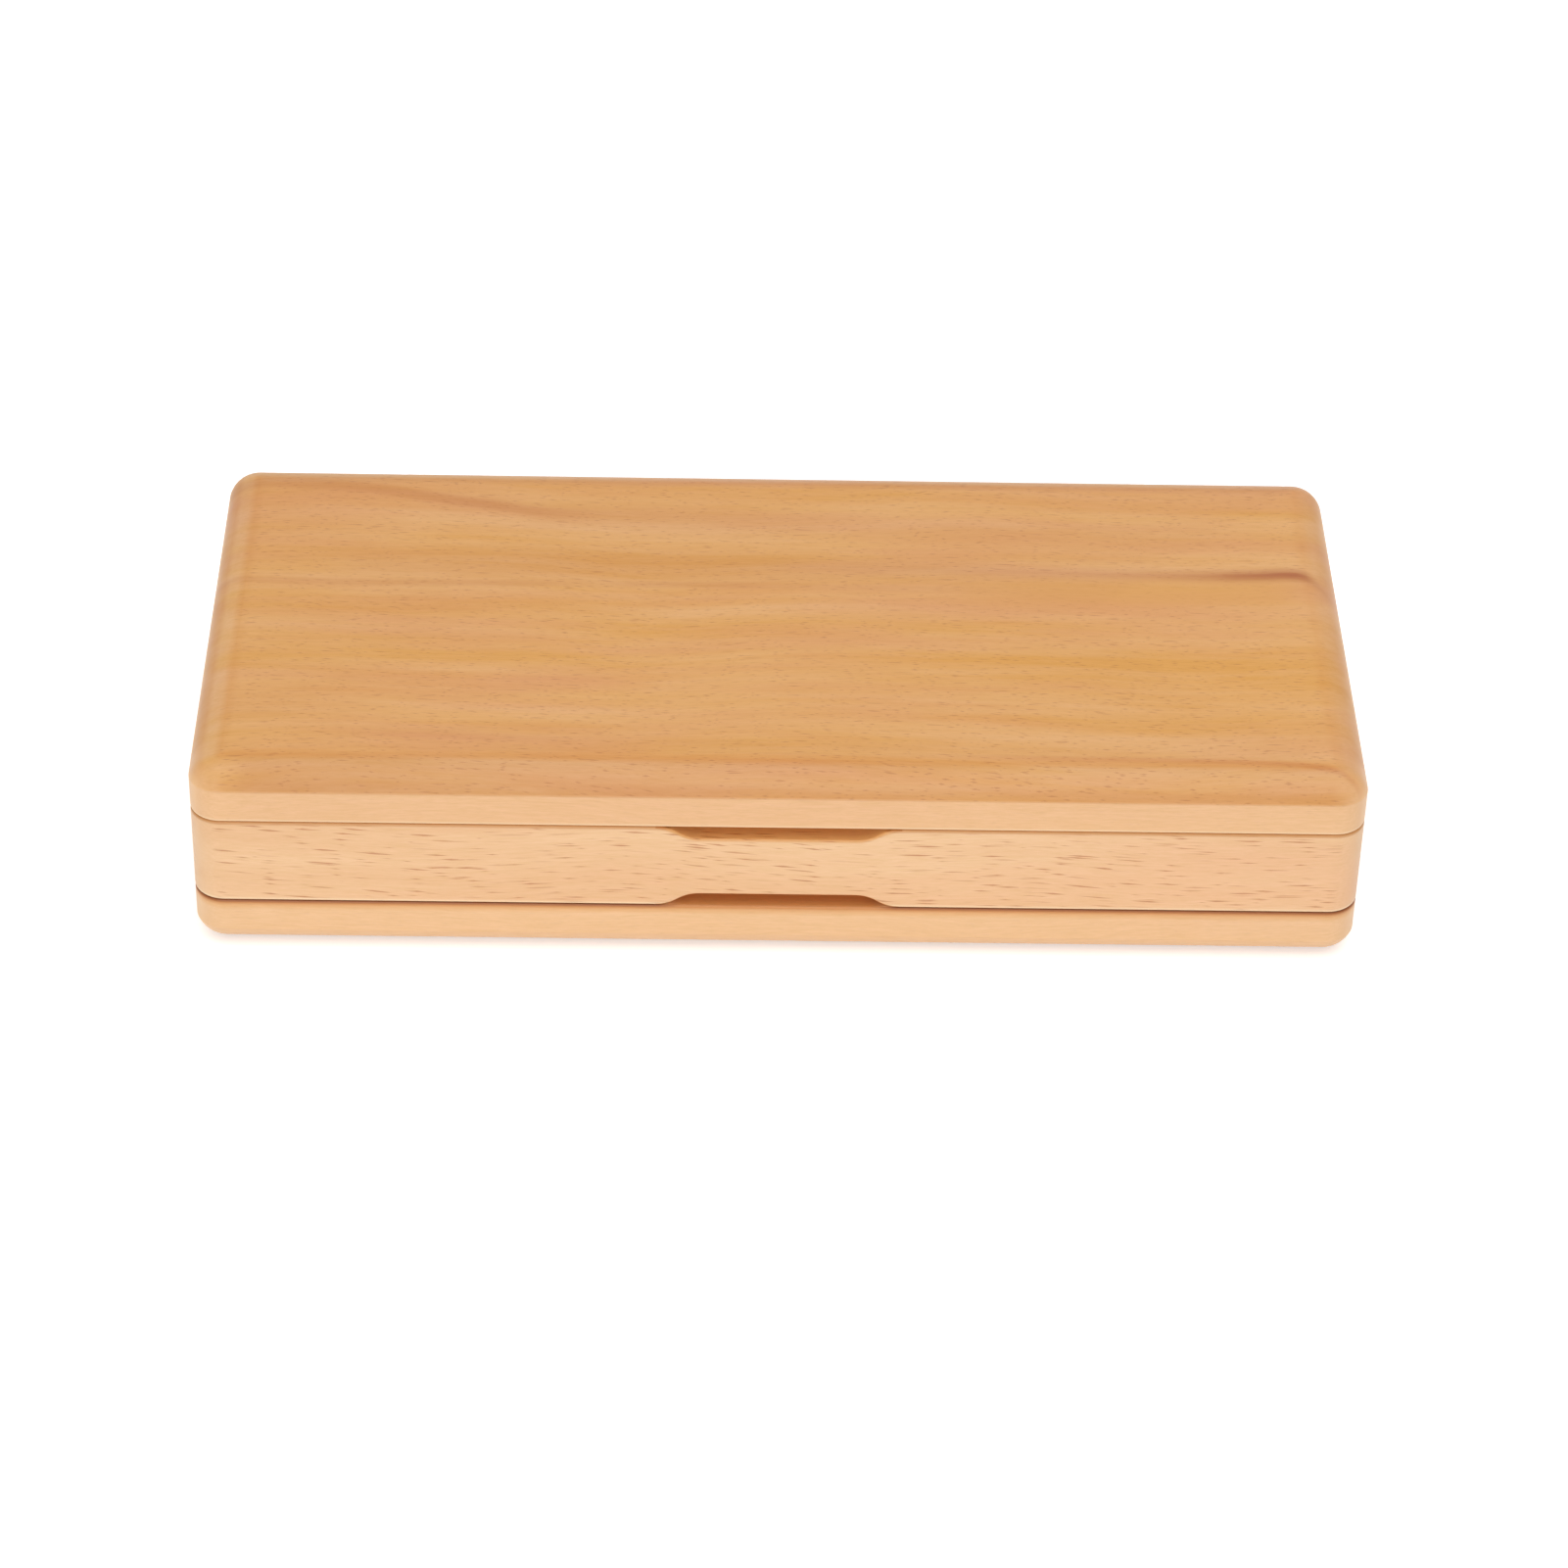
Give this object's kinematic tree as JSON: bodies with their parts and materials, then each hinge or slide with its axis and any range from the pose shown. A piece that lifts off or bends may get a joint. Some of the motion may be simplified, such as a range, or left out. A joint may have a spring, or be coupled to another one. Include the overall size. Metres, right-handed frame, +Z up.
{
  "type": "oboe reed case",
  "caption": "Double-sided wooden reed case: a middle with a lined tray and a row of pegs in each face, and hinged lids with rounded borders.",
  "frame": {"origin": "centre of the flat face of the lower lid that the closed case stands on", "axes": "+X along the case, +Y from the finger scoops towards the hinges, +Z up through the lids"},
  "size_m": [0.24, 0.1172, 0.0452],
  "materials": {
    "beech": "steamed beech under a satin lacquer, grain along the case",
    "peg_wood": "turned beech, waxed, grain along the peg",
    "velvet": "short-pile wine red velvet on a pad",
    "brass": "milled brass, lightly brushed",
    "nickel": "nickel-plated disc magnet"
  },
  "bodies": {
    "middle": {"middle_body": "beech", "middle_hinge_screws": "brass", "top_peg_bar": "beech", "top_pegs": "peg_wood", "top_tray_lining": "velvet", "top_left_body_magnet": "nickel", "top_left_hinge_body_leaf": "brass", "top_left_hinge_pin": "brass", "top_right_body_magnet": "nickel", "top_right_hinge_body_leaf": "brass", "top_right_hinge_pin": "brass", "bottom_peg_bar": "beech", "bottom_pegs": "peg_wood", "bottom_tray_lining": "velvet", "bottom_left_body_magnet": "nickel", "bottom_left_hinge_body_leaf": "brass", "bottom_left_hinge_pin": "brass", "bottom_right_body_magnet": "nickel", "bottom_right_hinge_body_leaf": "brass", "bottom_right_hinge_pin": "brass"},
    "top_lid": {"top_lid": "beech", "top_lid_lining": "velvet", "top_lid_hinge_screws": "brass", "top_left_lid_magnet": "nickel", "top_left_hinge_lid_leaf": "brass", "top_right_lid_magnet": "nickel", "top_right_hinge_lid_leaf": "brass"},
    "bottom_lid": {"bottom_lid": "beech", "bottom_lid_lining": "velvet", "bottom_lid_hinge_screws": "brass", "bottom_left_lid_magnet": "nickel", "bottom_left_hinge_lid_leaf": "brass", "bottom_right_lid_magnet": "nickel", "bottom_right_hinge_lid_leaf": "brass"}
  },
  "joints": [
    {"name": "top_lid_hinge", "type": "hinge", "parent": "middle", "child": "top_lid", "pos_m": [0, 0.0575, 0.03265], "axis": [-1, 0, 0], "range_deg": [0, 95]},
    {"name": "bottom_lid_hinge", "type": "hinge", "parent": "middle", "child": "bottom_lid", "pos_m": [0, 0.0575, 0.01255], "axis": [1, 0, 0], "range_deg": [0, 95]}
  ]
}
